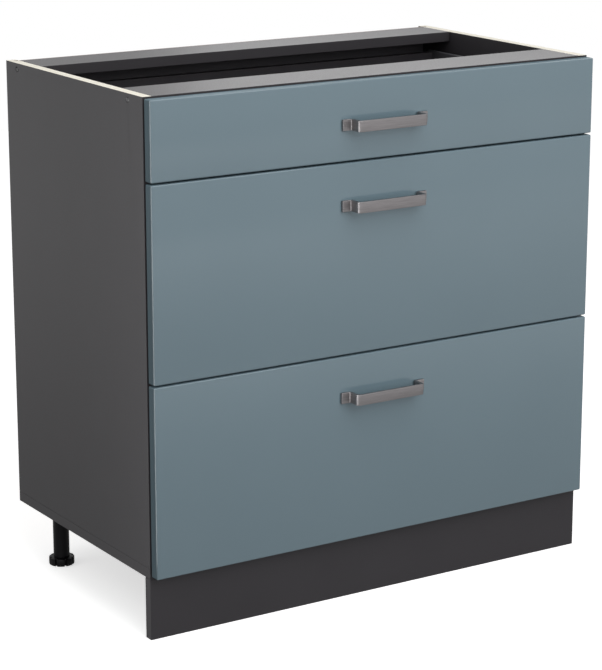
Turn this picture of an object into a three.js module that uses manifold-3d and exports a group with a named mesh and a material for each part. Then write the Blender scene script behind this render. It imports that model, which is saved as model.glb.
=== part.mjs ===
// Base cabinet with three drawers, in millimetres, +Z up, the drawers open towards -Y.
// Origin: on the floor, at the middle of the outline in X and Y, handles included.
import * as THREE from "three";
import { mergeVertices } from "three/addons/utils/BufferGeometryUtils.js";
import Module from "manifold-3d";

const wasm = await Module();
wasm.setup();

// --- driving dimensions -------------------------------------------------

const seat = 0.2; // gap left between two faces that rest on each other
const cutMargin = 1; // a cut runs this far past the face it opens

// carcass
const cabinetWidth = 800;
const carcassHeight = 720;
const carcassDepth = 438;
const panelThickness = 16;
const bottomThickness = 16;
const railThickness = 16;
const frontRailWidth = 90;
const rearRailWidth = 78;
const backPanelThickness = 3;
const backPanelInset = 11; // from the rear edges to the back panel
const grooveDepth = 8;
const grooveClearance = 0.2; // on each face of the back panel
const railScrewDrop = 10; // screw axis below the top edge
const railScrewHead = 10; // countersunk at 45 degrees
const railScrewBore = 5;
const railPilotDepth = 34; // in the ends of the rails
const frontRailScrewInset = 44; // from the front edge
const rearRailScrewInset = 38; // from the rear edge

// plinth and legs
const plinthHeight = 96;
const plinthThickness = 15;
const plinthTopClearance = 0.5;
const legInsetSide = 41;
const legInsetFront = 44;
const legInsetRear = 65;
const legTubeDiameter = 26;
const legPlateSize = 56;
const legPlateThickness = 3;
const legPlateHole = 4.5;
const legPlateHoleInset = 7.5;
const legCollarDiameter = 34;
const legCollarHeight = 10;
const legCollarTaper = 1.5; // on the radius, from the plate down
const legRibThickness = 2;
const legRibStart = 3; // above the collar's lower edge
const footDiameter = 41;
const footHeight = 12;
const footNotches = 8;
const footNotchTurn = Math.PI / 5; // from +X to the first notch
const footNotchWidth = 3.4;
const footNotchDepth = 4.2;
const footEdge = 0.8;
const footStemDiameter = 16;
const footStemLength = 52; // from the middle of the disc
const stemClearance = 0.8; // round the stem in the leg's bore
const stemHeadroom = 16; // above the stem in the leg's bore
const clipWall = 3;
const clipClearance = 0.4; // between the clip's jaws and the leg
const clipHeight = 14;
const clipCentreHeight = 52;
const clipPlateWidth = 44;
const clipArmWidth = 12;
const clipMouth = Math.PI / 3; // half of the angle at which the jaws stand open

// fronts
const frontThickness = 16;
const frontStandoff = 3; // from the carcass to the back of a front
const frontSideReveal = 1.5;
const frontTopReveal = 2.5;
const frontBottomReveal = 3.8;
const frontGap = 3;
const topFrontHeight = 119;
const frontEdgeRadius = 2.2;

// handles
const handleDrop = 64; // from a front's top edge to the handle's centre line
const handleWidth = 124; // over the two risers
const handleProjection = 27;
const handleFootLength = 14.3; // flange beyond the riser
const stripHeight = 17;
const stripThickness = 4.5;
const stripBendRadius = 1.5;
const stripEdgeRadius = 0.7;
const handleScrewBore = 3.3;
const handleScrewDepth = 3.2;
const handleScrewClearanceBore = 5;

// drawers
const sideWallInset = 13; // from the side panel to the drawer's wall
const sideSheet = 1.2;
const sideBendRadius = 0.8;
const sideEndSetback = 2.8; // from the runner's rear end to the drawer side's
const sideHeight = 86;
const ledgeWidth = 24;
const hemWidth = 6.5;
const hemDrop = 6;
const flangeEndInset = 1.5; // from each end of the wall to the running flange
const bracketLead = 0.4; // the bracket stands this far in front of the wall
const bracketWidth = 17;
const bracketMargin = 4; // below the hem and above the bottom board
const topDrawerRise = 1; // from a front's lower edge to its drawer's underside
const deepDrawerRise = 26;
const drawerBoardThickness = 16;
const topBackHeight = 66;
const deepBackHeight = 172;
const galleryDiameter = 10;
const galleryHeight = 148; // above the drawer's underside
const galleryInset = 9; // from the wall's inner face to the rail's axis
const galleryFlangeDiameter = 17;
const galleryFlangeThickness = 2.5;

// roller runners
const runnerSetback = 2; // from the carcass front
const runnerRearClearance = 32; // from the runner to the back panel
const runnerSheet = 1.2;
const runnerBendRadius = 0.6;
const rollerDiameter = 21;
const rollerWidth = 6.5;
const rollerPlay = 0.3; // above, below and beside a roller
const rollerStagger = 2.5; // the rear rollers run this much further under the runner's lip
const rollerEdge = 0.8;
const axleDiameter = 6;
const axleClearance = 0.25;
const axleShoulder = 10; // diameter of the boss and the rivet head
const rivetHead = 0.5;
const runnerTrackWidth = 10.4;
const runnerLipWidth = 5.2;
const lipSpacing = 0.6; // between the runner's lip and the drawer's flange
const frontRollerInset = 16; // from the runner's front end to the roller's axle
const rearRollerInset = 16; // from the drawer side's rear end to the axle
const stopHeight = 3;
const stopLength = 4;
const stopInset = 1; // from the track's two edges to the stop
const stopSetback = 33.4; // from the front roller's rim, which leaves the drawer a travel of 300

// facets
const roundSides = 24;
const smallRoundSides = 16;
const bendSteps = 2; // half the number of flats round a bend
const cornerSteps = 1; // the same for the small corners of an outline
const jawSteps = 8;
const frontEdgeSteps = 3;
const smallDiameter = 12; // rods thinner than this get the fewer sides
const mergeDistance = 1e-4;
const samePoint = 1e-6;

// --- sizes that follow ---------------------------------------------------

const cabinetHeight = plinthHeight + carcassHeight;
const innerWidth = cabinetWidth - 2 * panelThickness;
const sidePanelBase = plinthHeight + bottomThickness + seat;
const sidePanelHeight = cabinetHeight - sidePanelBase;
const backPanelFront = carcassDepth - backPanelInset - backPanelThickness;
const grooveWidth = backPanelThickness + 2 * grooveClearance;
const grooveFront = backPanelFront - grooveClearance;
const rearRailFront = backPanelFront - seat - rearRailWidth;
const railScrewHeight = cabinetHeight - railScrewDrop;
const rearRailScrewY = carcassDepth - rearRailScrewInset;
const plinthBoardHeight = plinthHeight - plinthTopClearance;
const frontBack = -frontStandoff;
const frontFace = frontBack - frontThickness;
const frontWidth = cabinetWidth - 2 * frontSideReveal;
const frontsHeight = carcassHeight - frontTopReveal - frontBottomReveal;
const deepFrontHeight = (frontsHeight - topFrontHeight - 2 * frontGap) / 2;
const deepFrontPitch = deepFrontHeight + frontGap;
const lowestFrontBase = plinthHeight + frontBottomReveal;
const depthCentre = (carcassDepth + frontFace - seat - handleProjection) / 2;
const handleFootCentre = handleWidth / 2 + handleFootLength / 2;
const channelHeight = rollerDiameter + 2 * rollerPlay + 2 * runnerSheet;
const rollerAxisHeight = channelHeight / 2;
const frontRollerStart = runnerLipWidth + rollerPlay;
const rearRollerEnd = frontRollerStart + rollerWidth - rollerStagger;
const runnerLength = backPanelFront - runnerRearClearance - runnerSetback;
const sideFront = frontBack + seat;
const sideLength = runnerSetback + runnerLength - sideEndSetback - sideFront;
const sideInnerFace = sideWallInset + sideSheet;
const boardWidth = innerWidth - 2 * (sideInnerFace + sideBendRadius);
const bottomBoardTop = sideSheet + seat + drawerBoardThickness;
const rearRollerY = sideFront + sideLength - rearRollerInset - runnerSetback;
const stopY = frontRollerInset + rollerDiameter / 2 + stopSetback;

const drawers = [
  {
    name: "top",
    base: cabinetHeight - frontTopReveal - topFrontHeight,
    frontHeight: topFrontHeight,
    rise: topDrawerRise,
    backHeight: topBackHeight,
    gallery: false,
  },
  {
    name: "middle",
    base: lowestFrontBase + deepFrontPitch,
    frontHeight: deepFrontHeight,
    rise: deepDrawerRise,
    backHeight: deepBackHeight,
    gallery: true,
  },
  {
    name: "bottom",
    base: lowestFrontBase,
    frontHeight: deepFrontHeight,
    rise: deepDrawerRise,
    backHeight: deepBackHeight,
    gallery: true,
  },
];

// --- materials -----------------------------------------------------------

function finish(color, roughness, metalness = 0) {
  return new THREE.MeshStandardMaterial({ color, roughness, metalness });
}
const anthraciteBoard = finish(0x414145, 0.6);
const blueLacquer = finish(0x6c7f88, 0.15);
const satinNickel = finish(0x9a979a, 0.35, 1);
const greySteel = finish(0x5d5e61, 0.45, 0.6);
const zincSteel = finish(0xa5a8aa, 0.4, 0.9);
const whiteNylon = finish(0xdcdad4, 0.5);
const blackPlastic = finish(0x151417, 0.55);

// --- shapes --------------------------------------------------------------

// A closed geometry as a solid that can be joined and cut.
function solidOf(geometry) {
  const bare = geometry.clone().deleteAttribute("normal").deleteAttribute("uv");
  const merged = mergeVertices(bare, mergeDistance);
  const vertProperties = new Float32Array(merged.attributes.position.array);
  const triVerts = new Uint32Array(merged.index.array);
  return new wasm.Manifold(new wasm.Mesh({ numProp: 3, vertProperties, triVerts }));
}

function geometryOf(solid) {
  const mesh = solid.getMesh();
  const indexed = new THREE.BufferGeometry();
  indexed.setAttribute("position", new THREE.BufferAttribute(mesh.vertProperties, 3));
  indexed.setIndex(new THREE.BufferAttribute(mesh.triVerts, 1));
  const geometry = indexed.toNonIndexed();
  geometry.computeVertexNormals();
  return geometry;
}

function join(first, ...others) {
  return geometryOf(others.reduce((whole, next) => whole.add(solidOf(next)), solidOf(first)));
}

function cut(first, ...tools) {
  return geometryOf(tools.reduce((rest, tool) => rest.subtract(solidOf(tool)), solidOf(first)));
}

// A box given by its lowest corner and its size.
function block(x, y, z, width, depth, height) {
  return new THREE.BoxGeometry(width, depth, height).translate(x + width / 2, y + depth / 2, z + height / 2);
}

// A cylinder from the origin along +Z, or along +X or +Y by its axis.
function rod(diameter, length, axis = "z") {
  const sides = diameter < smallDiameter ? smallRoundSides : roundSides;
  const geometry = new THREE.CylinderGeometry(diameter / 2, diameter / 2, length, sides);
  geometry.translate(0, length / 2, 0);
  if (axis === "z") geometry.rotateX(Math.PI / 2);
  if (axis === "x") geometry.rotateZ(-Math.PI / 2);
  return geometry;
}

// A solid of revolution along +X. Each step is [distance along the axis, radius].
function turned(steps, sides = roundSides) {
  const first = steps[0][0];
  const last = steps[steps.length - 1][0];
  const closed = [[first, 0], ...steps, [last, 0]];
  const profile = closed.map(([along, radius]) => new THREE.Vector2(radius, along));
  return new THREE.LatheGeometry(profile, sides).rotateZ(-Math.PI / 2);
}

// The section of a sheet folded along a line of [x, y] points, with every bend rounded.
function foldedSection(points, thickness, insideRadius) {
  const half = thickness / 2;
  const line = points.map(([x, y]) => new THREE.Vector2(x, y));
  const runs = line.slice(1).map((point, i) => point.clone().sub(line[i]).normalize());
  const leftOf = (run) => new THREE.Vector2(-run.y, run.x);
  const bends = runs.slice(1).map((next, i) => {
    const turn = Math.atan2(runs[i].cross(next), runs[i].dot(next));
    const hand = Math.sign(turn);
    const reach = (insideRadius + half) * Math.tan(Math.abs(turn) / 2);
    const centre = line[i + 1].clone();
    centre.addScaledVector(runs[i], -reach).addScaledVector(leftOf(runs[i]), hand * (insideRadius + half));
    const from = leftOf(runs[i]).multiplyScalar(-hand).angle();
    const to = leftOf(next).multiplyScalar(-hand).angle();
    return { centre, from, to, hand };
  });
  const shape = new THREE.Shape();
  const corner = (point, run, side) => point.clone().addScaledVector(leftOf(run), side * half);
  const radiusOn = (bend, side) => insideRadius + half - side * bend.hand * half;
  const firstCorner = corner(line[0], runs[0], 1);
  shape.moveTo(firstCorner.x, firstCorner.y);
  for (const bend of bends) {
    shape.absarc(bend.centre.x, bend.centre.y, radiusOn(bend, 1), bend.from, bend.to, bend.hand < 0);
  }
  for (const side of [1, -1]) {
    const end = corner(line[line.length - 1], runs[runs.length - 1], side);
    shape.lineTo(end.x, end.y);
  }
  for (const bend of [...bends].reverse()) {
    shape.absarc(bend.centre.x, bend.centre.y, radiusOn(bend, -1), bend.to, bend.from, bend.hand > 0);
  }
  const lastCorner = corner(line[0], runs[0], -1);
  shape.lineTo(lastCorner.x, lastCorner.y);
  shape.closePath();
  return shape;
}

// The points of an outline, without the doubles where two of its curves meet.
function outlinePoints(path, steps) {
  const points = path.getPoints(steps);
  return points.filter((point, i) => point.distanceTo(points[(i + 1) % points.length]) > samePoint);
}

// A section drawn in X and Y, run up +Z from 0, with its end edges rounded by the bevel.
function extrude(section, depth, steps = bendSteps, bevel = 0, bevelSegments = 1) {
  const shape = new THREE.Shape(outlinePoints(section, steps));
  shape.holes = (section.holes ?? []).map((hole) => new THREE.Path(outlinePoints(hole, 2 * bendSteps)));
  const options = { depth: depth - 2 * bevel, bevelEnabled: bevel > 0 };
  Object.assign(options, { bevelThickness: bevel, bevelSize: bevel, bevelOffset: -bevel, bevelSegments });
  return new THREE.ExtrudeGeometry(shape, options).translate(0, 0, bevel);
}

// A section drawn in X and Z, run along +Y.
function runAlongDepth(shape, length) {
  return extrude(shape, length).rotateX(Math.PI / 2).translate(0, length, 0);
}

// A section drawn in X and Y, run up +Z, with rounded long edges.
function rectangle(width, height, radius = 0) {
  const shape = new THREE.Shape();
  const [x, y] = [width / 2, height / 2];
  if (radius === 0) {
    shape.moveTo(-x, -y).lineTo(x, -y).lineTo(x, y).lineTo(-x, y).closePath();
    return shape;
  }
  shape.moveTo(-x + radius, -y);
  shape.absarc(x - radius, -y + radius, radius, -Math.PI / 2, 0);
  shape.absarc(x - radius, y - radius, radius, 0, Math.PI / 2);
  shape.absarc(-x + radius, y - radius, radius, Math.PI / 2, Math.PI);
  shape.absarc(-x + radius, -y + radius, radius, Math.PI, 1.5 * Math.PI);
  return shape;
}

// --- scene graph ---------------------------------------------------------

const cabinet = new THREE.Group();
const frame = new THREE.Group(); // its Y starts at the carcass front
frame.position.y = -depthCentre;
cabinet.add(frame);

function place(name, geometry, material, parent = frame) {
  const mesh = new THREE.Mesh(geometry, material);
  mesh.name = name;
  parent.add(mesh);
  return mesh;
}

// Calls make with a group whose +X runs inwards from that side panel's inner face.
function onEachSide(parent, make) {
  for (const [side, hand] of [["left", 1], ["right", -1]]) {
    const group = new THREE.Group();
    group.position.x = (-hand * innerWidth) / 2;
    group.scale.x = hand;
    parent.add(group);
    make(side, group);
  }
}

// --- carcass -------------------------------------------------------------

function sidePanel() {
  const panel = block(-panelThickness, 0, sidePanelBase, panelThickness, carcassDepth, sidePanelHeight);
  const grooveHeight = sidePanelHeight + 2 * cutMargin;
  const groove = block(-grooveDepth, 0, 0, grooveDepth + cutMargin, grooveWidth, grooveHeight);
  groove.translate(0, grooveFront, sidePanelBase - cutMargin);
  const sinkDepth = (railScrewHead - railScrewBore) / 2;
  const steps = [
    [-cutMargin, railScrewHead / 2 + cutMargin],
    [sinkDepth, railScrewBore / 2],
    [panelThickness + cutMargin, railScrewBore / 2],
  ];
  const bores = [frontRailScrewInset, rearRailScrewY].map((y) => {
    return turned(steps, smallRoundSides).translate(-panelThickness, y, railScrewHeight);
  });
  return cut(panel, groove, ...bores);
}

function bottomPanel() {
  const panel = block(-cabinetWidth / 2, 0, plinthHeight, cabinetWidth, carcassDepth, bottomThickness);
  const grooveLength = innerWidth + 2 * grooveDepth;
  const grooveBase = plinthHeight + bottomThickness - grooveDepth;
  const groove = block(-grooveLength / 2, 0, 0, grooveLength, grooveWidth, grooveDepth + cutMargin);
  return cut(panel, groove.translate(0, grooveFront, grooveBase));
}

function backPanel() {
  const width = innerWidth + 2 * (grooveDepth - grooveClearance);
  const base = plinthHeight + bottomThickness - grooveDepth + grooveClearance;
  return block(-width / 2, backPanelFront, base, width, backPanelThickness, cabinetHeight - base - seat);
}

// A flat rail between the side panels, with a blind pilot hole in each end for its screw.
function topRail(front, width, screwY) {
  const length = innerWidth - 2 * seat;
  const rail = block(-length / 2, front, cabinetHeight - railThickness, length, width, railThickness);
  const pilots = [-1, 1].map((hand) => {
    const pilot = rod(railScrewBore, 2 * railPilotDepth, "x");
    return pilot.translate((hand * length) / 2 - railPilotDepth, screwY, railScrewHeight);
  });
  return cut(rail, ...pilots);
}

onEachSide(frame, (side, group) => place(`side_panel_${side}`, sidePanel(), anthraciteBoard, group));
place("bottom_panel", bottomPanel(), anthraciteBoard);
place("back_panel", backPanel(), anthraciteBoard);
place("front_rail", topRail(0, frontRailWidth, frontRailScrewInset), anthraciteBoard);
place("rear_rail", topRail(rearRailFront, rearRailWidth, rearRailScrewY), anthraciteBoard);

// --- plinth, legs and feet -----------------------------------------------

const plinthBoard = block(-cabinetWidth / 2, 0, 0, cabinetWidth, plinthThickness, plinthBoardHeight);
place("plinth_board", plinthBoard, anthraciteBoard);

// Screwed plate, collar and tube in one moulding, drawn at the leg's axis with z on the floor.
function leg() {
  const top = plinthHeight - seat;
  const plateShape = rectangle(legPlateSize, legPlateSize, legPlateHoleInset);
  const holeAt = legPlateSize / 2 - legPlateHoleInset;
  for (const [x, y] of [[1, 1], [1, -1], [-1, 1], [-1, -1]]) {
    const hole = new THREE.Path().absarc(x * holeAt, y * holeAt, legPlateHole / 2, 0, 2 * Math.PI, true);
    plateShape.holes.push(hole);
  }
  const plate = extrude(plateShape, legPlateThickness).translate(0, 0, top - legPlateThickness);
  const collarBase = top - legPlateThickness - legCollarHeight;
  const post = turned([
    [footHeight + seat, legTubeDiameter / 2],
    [collarBase, legTubeDiameter / 2],
    [collarBase, legCollarDiameter / 2 - legCollarTaper],
    [top - legPlateThickness / 2, legCollarDiameter / 2],
  ]).rotateY(-Math.PI / 2);
  const ribLength = legPlateSize - 2 * legPlateHoleInset;
  const ribHeight = legCollarHeight - legRibStart + legPlateThickness / 2;
  const rib = block(-ribLength / 2, -legRibThickness / 2, 0, ribLength, legRibThickness, ribHeight);
  rib.translate(0, 0, collarBase + legRibStart);
  const crossRib = rib.clone().rotateZ(Math.PI / 2);
  const boreTop = footHeight / 2 + footStemLength + stemHeadroom;
  const bore = rod(footStemDiameter + 2 * stemClearance, boreTop - footHeight);
  return cut(join(post, plate, rib, crossRib), bore.translate(0, 0, footHeight));
}

// Castellated disc and the stem that screws into the leg.
function foot() {
  const outline = new THREE.Shape();
  const radius = footDiameter / 2;
  const notchRadius = footNotchWidth / 2;
  const notchCentre = radius - footNotchDepth + notchRadius;
  const halfNotch = Math.asin(notchRadius / radius);
  const pitch = (2 * Math.PI) / footNotches;
  for (let notch = 0; notch < footNotches; notch++) {
    const at = footNotchTurn + notch * pitch;
    const [x, y] = [notchCentre * Math.cos(at), notchCentre * Math.sin(at)];
    outline.absarc(x, y, notchRadius, at - Math.PI / 2, at + Math.PI / 2, true);
    outline.absarc(0, 0, radius, at + halfNotch, at + pitch - halfNotch, false);
  }
  const disc = extrude(outline, footHeight, cornerSteps, footEdge);
  const stem = rod(footStemDiameter, footStemLength).translate(0, 0, footHeight / 2);
  return join(disc, stem);
}

// Jaws that snap round a leg and a plate against the plinth board, drawn at the leg's axis.
function plinthClip() {
  const inner = legTubeDiameter / 2 + clipClearance;
  const outer = inner + clipWall;
  const jaws = new THREE.Shape();
  const [from, to] = [Math.PI / 2 + clipMouth, Math.PI / 2 - clipMouth];
  jaws.absarc(0, 0, outer, from, to + 2 * Math.PI, false);
  jaws.absarc(0, 0, inner, to + 2 * Math.PI, from, true);
  jaws.closePath();
  const reach = legInsetFront - plinthThickness - seat;
  const ring = extrude(jaws, clipHeight, jawSteps);
  const armLength = reach - inner - clipWall;
  const arm = block(-clipArmWidth / 2, -reach + clipWall / 2, 0, clipArmWidth, armLength, clipHeight);
  const plate = block(-clipPlateWidth / 2, -reach, 0, clipPlateWidth, clipWall, clipHeight);
  return join(ring, arm, plate).translate(0, 0, clipCentreHeight - clipHeight / 2);
}

for (const [end, y] of [["front", legInsetFront], ["rear", carcassDepth - legInsetRear]]) {
  for (const [side, hand] of [["left", -1], ["right", 1]]) {
    const corner = new THREE.Group();
    corner.position.set(hand * (cabinetWidth / 2 - legInsetSide), y, 0);
    frame.add(corner);
    place(`leg_${end}_${side}`, leg(), blackPlastic, corner);
    place(`foot_${end}_${side}`, foot(), blackPlastic, corner);
    if (end === "front") place(`plinth_clip_${side}`, plinthClip(), blackPlastic, corner);
  }
}

// --- roller runners ------------------------------------------------------

// Tyre with a plain bore, along +X from 0.
function roller() {
  const outer = rollerDiameter / 2;
  const bore = axleDiameter / 2 + axleClearance;
  const profile = [
    [0, bore],
    [0, outer - rollerEdge],
    [rollerEdge, outer],
    [rollerWidth - rollerEdge, outer],
    [rollerWidth, outer - rollerEdge],
    [rollerWidth, bore],
    [0, bore],
  ].map(([along, radius]) => new THREE.Vector2(radius, along));
  return new THREE.LatheGeometry(profile, smallRoundSides).rotateZ(-Math.PI / 2);
}

// Boss, axle and rivet head for a roller that starts at x = boss, along +X from 0.
function axle(boss) {
  const rollerEnd = boss + rollerWidth + 2 * rollerPlay;
  const steps = [
    [-runnerSheet / 2, axleShoulder / 2],
    [boss, axleShoulder / 2],
    [boss, axleDiameter / 2],
    [rollerEnd, axleDiameter / 2],
    [rollerEnd, axleShoulder / 2 - rivetHead],
    [rollerEnd + rivetHead, axleShoulder / 2 - 2 * rivetHead],
  ];
  return turned(steps, smallRoundSides);
}

// Channel on the side panel: web, track below, narrow lip above, stop and front axle.
function cabinetRunner() {
  const half = runnerSheet / 2;
  const section = foldedSection(
    [
      [runnerTrackWidth, half],
      [half, half],
      [half, channelHeight - half],
      [runnerLipWidth, channelHeight - half],
    ],
    runnerSheet,
    runnerBendRadius,
  );
  const channel = runAlongDepth(section, runnerLength).translate(seat, 0, 0);
  const pin = axle(frontRollerStart - runnerSheet - seat - rollerPlay);
  pin.translate(runnerSheet + seat, frontRollerInset, rollerAxisHeight);
  const stopWidth = runnerTrackWidth - runnerSheet - 2 * stopInset;
  const stop = block(runnerSheet + stopInset, stopY, half, stopWidth, stopLength, half + stopHeight);
  return join(channel, pin, stop);
}

// --- drawers -------------------------------------------------------------

// Folded wall with its ledge and hem, running flange, front bracket and rear axle.
function drawerSide() {
  const half = sideSheet / 2;
  const wall = sideWallInset + half;
  const section = foldedSection(
    [
      [sideInnerFace + ledgeWidth, half],
      [wall, half],
      [wall, sideHeight - half],
      [wall - hemWidth + sideSheet, sideHeight - half],
      [wall - hemWidth + sideSheet, sideHeight - hemDrop],
    ],
    sideSheet,
    sideBendRadius,
  );
  const folded = runAlongDepth(section, sideLength - bracketLead).translate(0, sideFront + bracketLead, 0);
  const flangeStart = runnerLipWidth + seat + lipSpacing;
  const flangeHeight = channelHeight - runnerSheet;
  const flangeLength = sideLength - 2 * flangeEndInset;
  const flange = block(flangeStart, 0, flangeHeight, wall - flangeStart, flangeLength, sideSheet);
  flange.translate(0, sideFront + flangeEndInset, 0);
  const bracketBase = bottomBoardTop + bracketMargin;
  const bracketTop = sideHeight - hemDrop - bracketMargin;
  const bracket = block(wall, sideFront, bracketBase, bracketWidth, sideSheet, bracketTop - bracketBase);
  const pin = axle(sideWallInset - rearRollerEnd - rollerPlay).rotateZ(Math.PI);
  pin.translate(sideWallInset, sideFront + sideLength - rearRollerInset, rollerAxisHeight);
  return join(folded, flange, bracket, pin);
}

// Board with rounded edges and two clearance holes for the handle's screws.
function drawerFront(height) {
  const outline = rectangle(frontWidth, height);
  const board = extrude(outline, frontThickness, cornerSteps, frontEdgeRadius, frontEdgeSteps);
  board.rotateX(Math.PI / 2).translate(0, frontBack, height / 2);
  const bores = [-1, 1].map((hand) => {
    const bore = rod(handleScrewClearanceBore, frontThickness + 2 * cutMargin, "y");
    return bore.translate(hand * handleFootCentre, frontFace - cutMargin, height - handleDrop);
  });
  return cut(board, ...bores);
}

// Flat strip bent into two feet, two risers and the grip bar, with a screw hole behind each foot.
function handle() {
  const half = stripThickness / 2;
  const riser = handleWidth / 2 - half;
  const footEnd = handleWidth / 2 + handleFootLength;
  const outer = half - handleProjection;
  const line = [
    [-footEnd, -half],
    [-riser, -half],
    [-riser, outer],
    [riser, outer],
    [riser, -half],
    [footEnd, -half],
  ];
  const section = foldedSection(line, stripThickness, stripBendRadius);
  const strip = extrude(section, stripHeight, bendSteps, stripEdgeRadius);
  strip.translate(0, 0, -stripHeight / 2);
  const bores = [-1, 1].map((hand) => {
    const bore = rod(handleScrewBore, handleScrewDepth + cutMargin, "y");
    return bore.translate(hand * handleFootCentre, -handleScrewDepth, 0);
  });
  return cut(strip, ...bores);
}

function bottomBoard() {
  return block(-boardWidth / 2, sideFront, sideSheet + seat, boardWidth, sideLength, drawerBoardThickness);
}

function backBoard(height) {
  const front = sideFront + sideLength - drawerBoardThickness;
  return block(-boardWidth / 2, front, bottomBoardTop + seat, boardWidth, drawerBoardThickness, height);
}

// Round rail with a flange at the front board and one at the back board.
function galleryRail() {
  const length = sideLength - drawerBoardThickness - seat;
  const [rail, flange] = [galleryDiameter / 2, galleryFlangeDiameter / 2];
  const steps = [
    [0, flange],
    [galleryFlangeThickness, flange],
    [galleryFlangeThickness, rail],
    [length - galleryFlangeThickness, rail],
    [length - galleryFlangeThickness, flange],
    [length, flange],
  ];
  const bar = turned(steps, smallRoundSides).rotateZ(Math.PI / 2);
  return bar.translate(sideInnerFace + galleryInset, sideFront, galleryHeight);
}

for (const drawer of drawers) {
  const front = new THREE.Group();
  front.position.z = drawer.base;
  frame.add(front);
  place(`${drawer.name}_front`, drawerFront(drawer.frontHeight), blueLacquer, front);
  const grip = place(`${drawer.name}_handle`, handle(), satinNickel, front);
  grip.position.set(0, frontFace - seat, drawer.frontHeight - handleDrop);

  const box = new THREE.Group();
  box.position.z = drawer.base + drawer.rise;
  frame.add(box);
  place(`${drawer.name}_bottom_board`, bottomBoard(), anthraciteBoard, box);
  place(`${drawer.name}_back_board`, backBoard(drawer.backHeight), anthraciteBoard, box);
  onEachSide(box, (side, group) => {
    place(`${drawer.name}_side_${side}`, drawerSide(), greySteel, group);
    if (drawer.gallery) place(`${drawer.name}_gallery_${side}`, galleryRail(), greySteel, group);
    place(`${drawer.name}_runner_${side}`, cabinetRunner(), zincSteel, group).position.y = runnerSetback;
    const frontRoller = place(`${drawer.name}_front_roller_${side}`, roller(), whiteNylon, group);
    frontRoller.position.set(frontRollerStart, runnerSetback + frontRollerInset, rollerAxisHeight);
    const rearRoller = place(`${drawer.name}_rear_roller_${side}`, roller(), whiteNylon, group);
    rearRoller.position.set(rearRollerEnd - rollerWidth, runnerSetback + rearRollerY, rollerAxisHeight);
  });
}

export default cabinet;
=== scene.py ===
import math

import bmesh
import bpy
from mathutils import Matrix, Vector


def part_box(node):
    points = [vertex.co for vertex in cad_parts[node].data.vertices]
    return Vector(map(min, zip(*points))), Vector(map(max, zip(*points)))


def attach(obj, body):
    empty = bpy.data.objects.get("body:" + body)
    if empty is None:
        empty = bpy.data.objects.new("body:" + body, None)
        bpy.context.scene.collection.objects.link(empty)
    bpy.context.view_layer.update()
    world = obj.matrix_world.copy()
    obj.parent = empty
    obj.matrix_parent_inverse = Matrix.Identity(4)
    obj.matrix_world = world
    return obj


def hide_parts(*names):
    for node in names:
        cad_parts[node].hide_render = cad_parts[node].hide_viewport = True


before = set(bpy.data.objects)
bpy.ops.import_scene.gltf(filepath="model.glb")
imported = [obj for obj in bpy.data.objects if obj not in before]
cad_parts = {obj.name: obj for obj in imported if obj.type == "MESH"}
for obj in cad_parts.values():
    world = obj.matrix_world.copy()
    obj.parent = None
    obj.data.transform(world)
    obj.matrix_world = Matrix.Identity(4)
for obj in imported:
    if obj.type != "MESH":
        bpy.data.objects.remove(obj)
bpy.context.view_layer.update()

# Base cabinet with three drawers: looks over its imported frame. Metres, +Z up, the drawers open towards -Y.
# The dictionaries of finishes and shapes hold their sizes in mm.
mm = 0.001
metre = 1000  # in mm, for the scales of textures
scene = bpy.context.scene

sides = {"left": 1, "right": -1}  # the way inwards along X
frontAndRear = ("front", "rear")
drawerNames = ("top", "middle", "bottom")

# a long lens from the front left, pitched down; upright edges lean a little, which a shift lens would undo
camera = {
    "place": (-2.0, -3.1219, 1.336),
    "turn": (75.42, 0, -32.51),  # degrees
    "lens": 128.15,  # mm, as the sensor's width
    "sensor": 36,
}
cameraData = bpy.data.cameras.new("photo_camera")
cameraData.lens = camera["lens"]
cameraData.sensor_width = camera["sensor"]
cameraObject = bpy.data.objects.new("photo_camera", cameraData)
cameraObject.location = camera["place"]
cameraObject.rotation_euler = [math.radians(angle) for angle in camera["turn"]]
scene.collection.objects.link(cameraObject)
scene.camera = cameraObject
scene.view_settings.view_transform = "Standard"


# An sRGB hex colour as linear red, green, blue and alpha.
def linear(code):
    channels = [int(code[i : i + 2], 16) / 255 for i in (1, 3, 5)]
    return [c / 12.92 if c <= 0.04045 else ((c + 0.055) / 1.055) ** 2.4 for c in channels] + [1]


# Adds a shader node. An input is a value or the socket that feeds it, and stops are a colour ramp's.
def addNode(tree, kind, inputs=None, **settings):
    node = tree.nodes.new("ShaderNode" + kind)
    stops = settings.pop("stops", None)
    for name, value in settings.items():
        setattr(node, name, value)
    if stops:
        ramp = node.color_ramp
        for i, (at, colour) in enumerate(stops):
            stop = ramp.elements[i] if i < 2 else ramp.elements.new(at)
            stop.position, stop.color = at, colour
    for name, value in (inputs or {}).items():
        if isinstance(value, bpy.types.NodeSocket):
            tree.links.new(value, node.inputs[name])
        else:
            node.inputs[name].default_value = value
    return node


def newMaterial(name):
    material = bpy.data.materials.new(name)
    material.use_nodes = True
    material.node_tree.nodes.clear()
    return material, material.node_tree


# Melamine-faced chipboard, pressed against a pearl plate: the paper face is even and matt, and the
# plate's fine bumps break up reflections. Raw edges show pale chips.
boardFinish = {
    "face": "#312f32",
    "fleck": "#363437",
    # The drawers' boards take a darker tone than the carcass's face: painted shade for the dim inside of the
    # cabinet.
    "drawerShadedFace": "#262427",  # the boards of the drawers
    "cloud": 60.0,  # mm, faint unevenness of the printed paper
    "pearl": 2.0,  # mm, coarser than the real 0.4, which is too fine to show
    "pearlDepth": 0.02,
    "pearlRange": (0.3, 0.7),  # of the noise, over which the roughness rises
    "roughness": (0.38, 0.47),
    "sheen": 0.3,  # specular level, low as on matt paper
    "rawEdge": "#f8f5ea",
    "rawChip": "#f0eada",
    "rawRoughness": 0.9,
    "rawUp": 0.9,  # a raw top edge's normal has more than this along Z
    "chip": 3.5,
}


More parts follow.
